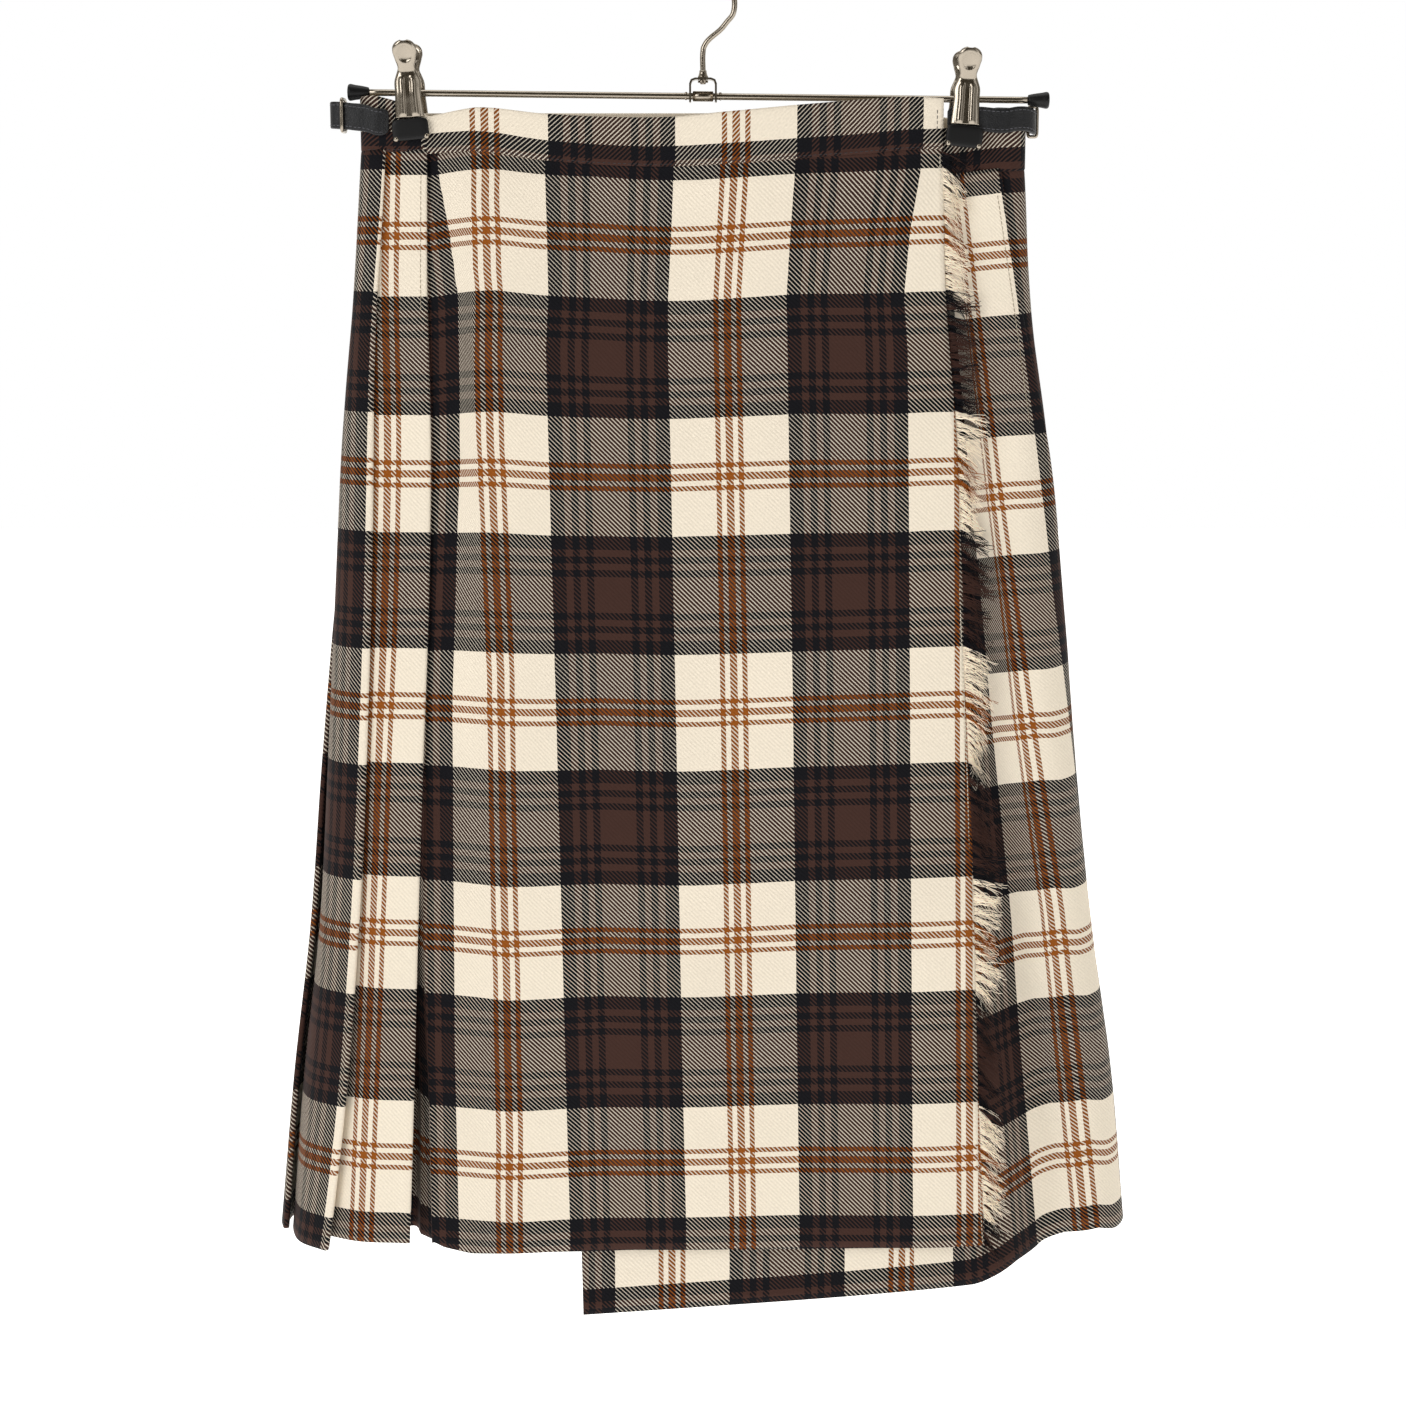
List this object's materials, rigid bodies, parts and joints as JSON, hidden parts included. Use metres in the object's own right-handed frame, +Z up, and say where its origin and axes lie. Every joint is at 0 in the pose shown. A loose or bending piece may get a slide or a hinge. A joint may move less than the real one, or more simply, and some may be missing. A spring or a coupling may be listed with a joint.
{
  "type": "pleated tartan wrap skirt on a clip hanger",
  "caption": "Knee-length pleated tartan wrap skirt with a fringed apron and leather side straps, hung by its waistband from a steel clip hanger with a hook.",
  "frame": {"origin": "inside of the hook's crown, where a rail carries the hanger", "axes": "+Z up, -Y out of the skirt's front, +X to the viewer's right when the front is seen"},
  "size_m": [0.4639, 0.1076, 0.7058],
  "materials": {
    "tartan_cloth": "woven wool twill",
    "fringe_wool": "frayed wool",
    "leather": "satin, stitched",
    "buckle_steel": "worn nickel",
    "hanger_steel": "polished nickel",
    "rubber": "satin"
  },
  "bodies": {
    "root": {"outer_apron": "tartan_cloth", "pleats_left": "tartan_cloth", "pleats_back_left": "tartan_cloth", "pleats_back_right": "tartan_cloth", "pleats_right": "tartan_cloth", "inner_apron": "tartan_cloth", "waistband_outer": "tartan_cloth", "waistband_back": "tartan_cloth", "waistband_inner": "tartan_cloth", "fringe": "fringe_wool", "strap_left": "leather", "strap_right": "leather", "buckle_left": "buckle_steel", "buckle_right": "buckle_steel", "hanger_bar": "hanger_steel", "cap_left": "rubber", "cap_right": "rubber", "bar_sleeve": "hanger_steel", "bracket": "hanger_steel", "hook": "hanger_steel", "hook_collar": "hanger_steel", "hook_washer": "hanger_steel", "clip_left_front": "hanger_steel", "clip_left_front_foot": "rubber", "clip_left_rear": "hanger_steel", "clip_left_rear_foot": "rubber", "clip_left_spring": "hanger_steel", "clip_right_front": "hanger_steel", "clip_right_front_foot": "rubber", "clip_right_rear": "hanger_steel", "clip_right_rear_foot": "rubber", "clip_right_spring": "hanger_steel"}
  },
  "joints": []
}
